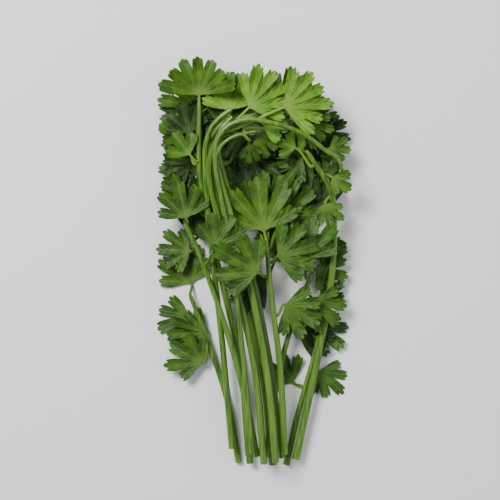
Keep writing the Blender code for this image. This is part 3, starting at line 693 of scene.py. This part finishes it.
def cut_end(rod, end, inside):
    """Insets and presses in the flat face at this end of a stem, and gives it pale flesh."""
    outward = (end - inside).normalized()
    for face in rod.data.polygons:
        face.select = len(face.vertices) > 8 and (face.center - end * MM).length < END_REACH * MM
    deselect()
    rod.select_set(True)
    bpy.context.view_layer.objects.active = rod
    bpy.ops.object.mode_set(mode="EDIT")
    bpy.ops.mesh.select_mode(type="FACE")
    for width, depth in CUT_STEPS:
        bpy.ops.mesh.inset(thickness=width * MM, depth=depth * MM)
    bpy.ops.object.mode_set(mode="OBJECT")
    for face in rod.data.polygons:
        if (face.center - end * MM).length < FLESH_REACH * MM and len(face.vertices) > 3:
            face.material_index = 1 if abs(face.normal.dot(outward)) > 0.6 else 0


stems = {}
for name, (_, first, last) in STEMS.items():
    route = routes[name]
    count = len(route) - 1
    radii = [first + (last - first) * i / count for i in range(count + 1)]
    rod = swept_rod(f"{name}_ribbed", route, radii)
    rod.data.materials.append(stem_green)
    rod.data.materials.append(cut_flesh)
    cut_end(rod, route[0], route[2])
    if name == "cut_stem":
        cut_end(rod, route[-1], route[-3])
    deselect()
    rod.select_set(True)
    bpy.context.view_layer.objects.active = rod
    bpy.ops.object.shade_smooth_by_angle(angle=math.radians(50))
    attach(rod, "root")
    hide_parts(name)
    stems[name] = rod
print(len(stems), "stems, the longest with", max(len(s.data.polygons) for s in stems.values()), "faces")

# %% [markdown]
# ## Leaves
#
# Each leaf is a copy of the flat blade of its form, with its own mesh. Its points are lifted to
# the bent shape and turned to its heading. Solidify gives it thickness, more of it near the
# base and along the ribs, so that the ribs stand out on both sides. Then its stalk is swept
# from inside its stem to its base, and the two are joined into one piece.

# %% Making one leaf
BLADE_THICK = 1.15 * MM  # at the base; the skin between the ribs is a third of it
SKIN_SHARE = 0.3
RIB_WIDTH = 0.34         # half the width of a rib, in millimetres
STALK_THICK = 0.5        # radius of the stalk at the blade, in millimetres
STALK_FOOT = 0.72        # and at the stem
STALK_END = 0.3          # and inside the blade
STALK_STEPS = 14
LONGEST_BEND = 14.0      # a longer stalk bends no more than one of this length
BEND_OUT = 0.15          # how far a stalk keeps its first direction, as a share of its length
BEND_IN = 0.35           # and its last one
INTO_BLADE = 0.07        # how far it runs on into the blade, as a share of the blade's length
STALK_LOWEST = 0.9       # the lowest that its middle gets, in millimetres
FOOT_OUT = 1.6           # a filling leaf's stalk starts this far from the middle of its stem
FOOT_SWEEP = 0.5         # and leans this much along it
NECK_REACH = 0.22        # the thick neck of a blade ends here, as a share of its length


def shape_blade(name, spec, base, moods):
    """A bent copy of the flat blade, in its place, with a group that says how thick it is."""
    form, length = spec[5], spec[4]
    blade = blades[form].copy()
    blade.data = blades[form].data.copy()
    blade.name = f"{name}_blade"
    bpy.context.scene.collection.objects.link(blade)
    turn = turn_of(spec)
    thick = blade.vertex_groups.new(name="thick")
    for vertex in blade.data.vertices:
        reach = vertex.co.length
        angle = math.degrees(math.atan2(vertex.co.y, vertex.co.x))
        lobe = nearest_lobe(form, angle)
        x = min(1.0, abs(angle - lobe[0]) / lobe[2])
        grown = 1 + GROWTH * moods[FORMS[form].index(lobe)][2] * reach * (1 - x * x)
        vertex.co *= grown
        reach *= grown
        off_rib = min(reach * length * abs(math.sin(math.radians(angle - lobe[0]))) for lobe in FORMS[form])
        rib = math.exp(-(off_rib / RIB_WIDTH) ** 2) * (1 - 0.7 * reach)
        neck = max(0.0, 1 - reach / NECK_REACH)
        share = min(1.0, SKIN_SHARE + (1 - SKIN_SHARE) * max(0.55 * rib, neck))
        thick.add([vertex.index], share, "REPLACE")
        height = bent_height(form, spec, angle, reach, moods)
        place = turn @ Vector((vertex.co.x, vertex.co.y, height)) * length
        place += base
        place.z = above_floor(place.z)
        vertex.co = place * MM
    return blade


def thicken(blade):
    deselect()
    blade.select_set(True)
    bpy.context.view_layer.objects.active = blade
    solid = blade.modifiers.new("thickness", "SOLIDIFY")
    solid.thickness = BLADE_THICK
    solid.offset = 0
    solid.use_even_offset = False
    solid.vertex_group = "thick"
    solid.thickness_vertex_group = 0
    bpy.ops.object.modifier_apply(modifier=solid.name)
    blade.vertex_groups.clear()


def stalk_route(spec, base, foot, on_stem):
    """From inside the stem, through the foot, to just inside the blade."""
    ahead = turn_of(spec) @ Vector((1, 0, 0))
    bend = min((base - foot).length, LONGEST_BEND)
    bend_a = foot + (foot - on_stem).normalized() * bend * BEND_OUT
    bend_b = base - ahead * bend * BEND_IN
    route = [on_stem]
    for k in range(STALK_STEPS + 1):
        t = k / STALK_STEPS
        s = 1 - t
        route.append(s ** 3 * foot + 3 * s * s * t * bend_a + 3 * s * t * t * bend_b + t ** 3 * base)
    route.append(base + ahead * INTO_BLADE * spec[4])
    for place in route[1:]:
        place.z = max(place.z, STALK_LOWEST)
    return route


def make_leaf(name, spec, look, draw):
    moods = [[draw.uniform(-1, 1) for _ in range(3)] for _ in FORMS[spec[5]]]
    base = bases[name]
    blade = shape_blade(name, spec, base, moods)
    thicken(blade)
    if name in LEAVES:
        foot, on_stem = true_foot(name, routes[spec[0]])
    else:
        on_stem, direction = along(routes[spec[0]], spec[1])
        toward = base - on_stem
        toward = (toward - direction * toward.dot(direction)).normalized()
        foot = on_stem + FOOT_OUT * (toward + FOOT_SWEEP * direction).normalized()
    route = stalk_route(spec, base, foot, on_stem)
    radii = [STALK_FOOT + (STALK_THICK - STALK_FOOT) * i / (len(route) - 1) for i in range(len(route))]
    radii[-1] = STALK_END
    stalk = swept_rod(f"{name}_stalk", route, radii)
    layer = stalk.data.uv_layers.new(name="leaf") if not stalk.data.uv_layers else stalk.data.uv_layers[0]
    layer.name = "leaf"
    for item in layer.data:
        item.uv = (0, 0)
    deselect()
    stalk.select_set(True)
    blade.select_set(True)
    bpy.context.view_layer.objects.active = blade
    bpy.ops.object.join()
    leaf = bpy.context.object
    leaf.name = f"{name}_blade"
    leaf.data.materials.clear()
    leaf.data.materials.append(look)
    bpy.ops.object.shade_smooth_by_angle(angle=math.radians(60))
    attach(leaf, "root")
    if name in LEAVES:
        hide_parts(name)
    return leaf


print("each leaf has a blade and a stalk")

# %% [markdown]
# The leaves at the back and under others get darker greens, which are painted shade. The ones on top get
# lighter greens, which are painted light, and the rest are between. Each leaf's lobes lift and curl by
# seeded random amounts.

# %% All the leaves
# The leaves on top get the lightest greens, as painted light.
LIT_ON_TOP = ("central_fan_leaf", "upper_fan_leaf", "right_fan_leaf", "rounded_leaf")
HALF_LIT = ("cupped_leaf", "hand_leaf", "left_light_leaf", "light_edge_leaf", "rounded_left_leaf",
         "pointed_leaf", "under_cup_leaf", "small_round_leaf", "broad_leaf", "edge_leaf_top",
         "centre_leaf_01", "edge_leaf_02", "toothed_leaf_low")
SEED = 7
draw = random.Random(SEED)
for name, spec in LEAVES.items():
    look = leaf_lit_light if name in LIT_ON_TOP else leaf_half_lit if name in HALF_LIT else leaf_mid
    # Leaves named dark, back or deep lie low in the bunch and get the darkest green, as painted shade.
    if name.startswith(("dark", "back", "deep")):
        look = leaf_dark
    make_leaf(name, spec, look, draw)
for number, (name, spec) in enumerate(FILLING.items()):
    # Most filling leaves get the darkest green: painted shade in the gaps between the other leaves.
    look = leaf_mid if number % 3 == 0 else leaf_dark
    make_leaf(name, spec, look, draw)
for blade in blades.values():
    bpy.data.objects.remove(blade)
bpy.data.objects.remove(stem_profile)

# %% [markdown]
# ## Floor, light and camera
#
# The bunch lies on a plain pale floor. One large soft lamp from the upper left models the
# leaves, a weaker one fills from the right, and the pale world lights the rest. The camera
# looks straight down on the bunch with a long lens, with the leafy tops at the top.

# %% The floor
deselect()
bpy.ops.mesh.primitive_plane_add(size=4)
floor = bpy.context.object
floor.name = "floor"
paper, _, paper_shader = new_material("pale_floor")
paper_shader.inputs["Base Color"].default_value = (0.9, 0.9, 0.89, 1)
paper_shader.inputs["Roughness"].default_value = 0.7
floor.data.materials.append(paper)
print("floor at z = 0")

# %% Lights
def soft_lamp(name, place, size, power):
    bpy.ops.object.light_add(type="AREA", location=place)
    lamp = bpy.context.object
    lamp.name = name
    lamp.data.size = size
    lamp.data.energy = power
    lamp.rotation_euler = (-Vector(place)).to_track_quat("-Z", "Y").to_euler()


soft_lamp("key_lamp", (-0.4, 0.4, 0.8), 0.34, 12)
soft_lamp("fill_lamp", (0.7, 0.1, 0.6), 0.7, 2)
world = bpy.data.worlds.new("studio")
bpy.context.scene.world = world
world.use_nodes = True
world.node_tree.nodes["Background"].inputs["Color"].default_value = (0.95, 0.97, 1.0, 1)
world.node_tree.nodes["Background"].inputs["Strength"].default_value = 0.45
print("two lamps and a pale world")

# %% Camera
VIEW_WIDTH = 0.216       # metres across the picture at the middle of the bunch
VIEW_CENTRE = (-0.0006, 0.0064)
LENS, SENSOR = 100, 36

low, high = cad_box
middle = (low[2] + high[2]) / 2
distance = VIEW_WIDTH / 2 / math.tan(math.atan(SENSOR / 2 / LENS))
bpy.ops.object.camera_add(location=(*VIEW_CENTRE, middle + distance), rotation=(0, 0, 0))
camera = bpy.context.object
camera.data.lens = LENS
camera.data.sensor_width = SENSOR
camera.data.clip_start = 0.01
bpy.context.scene.camera = camera
print("camera", round(distance, 3), "m above the bunch")
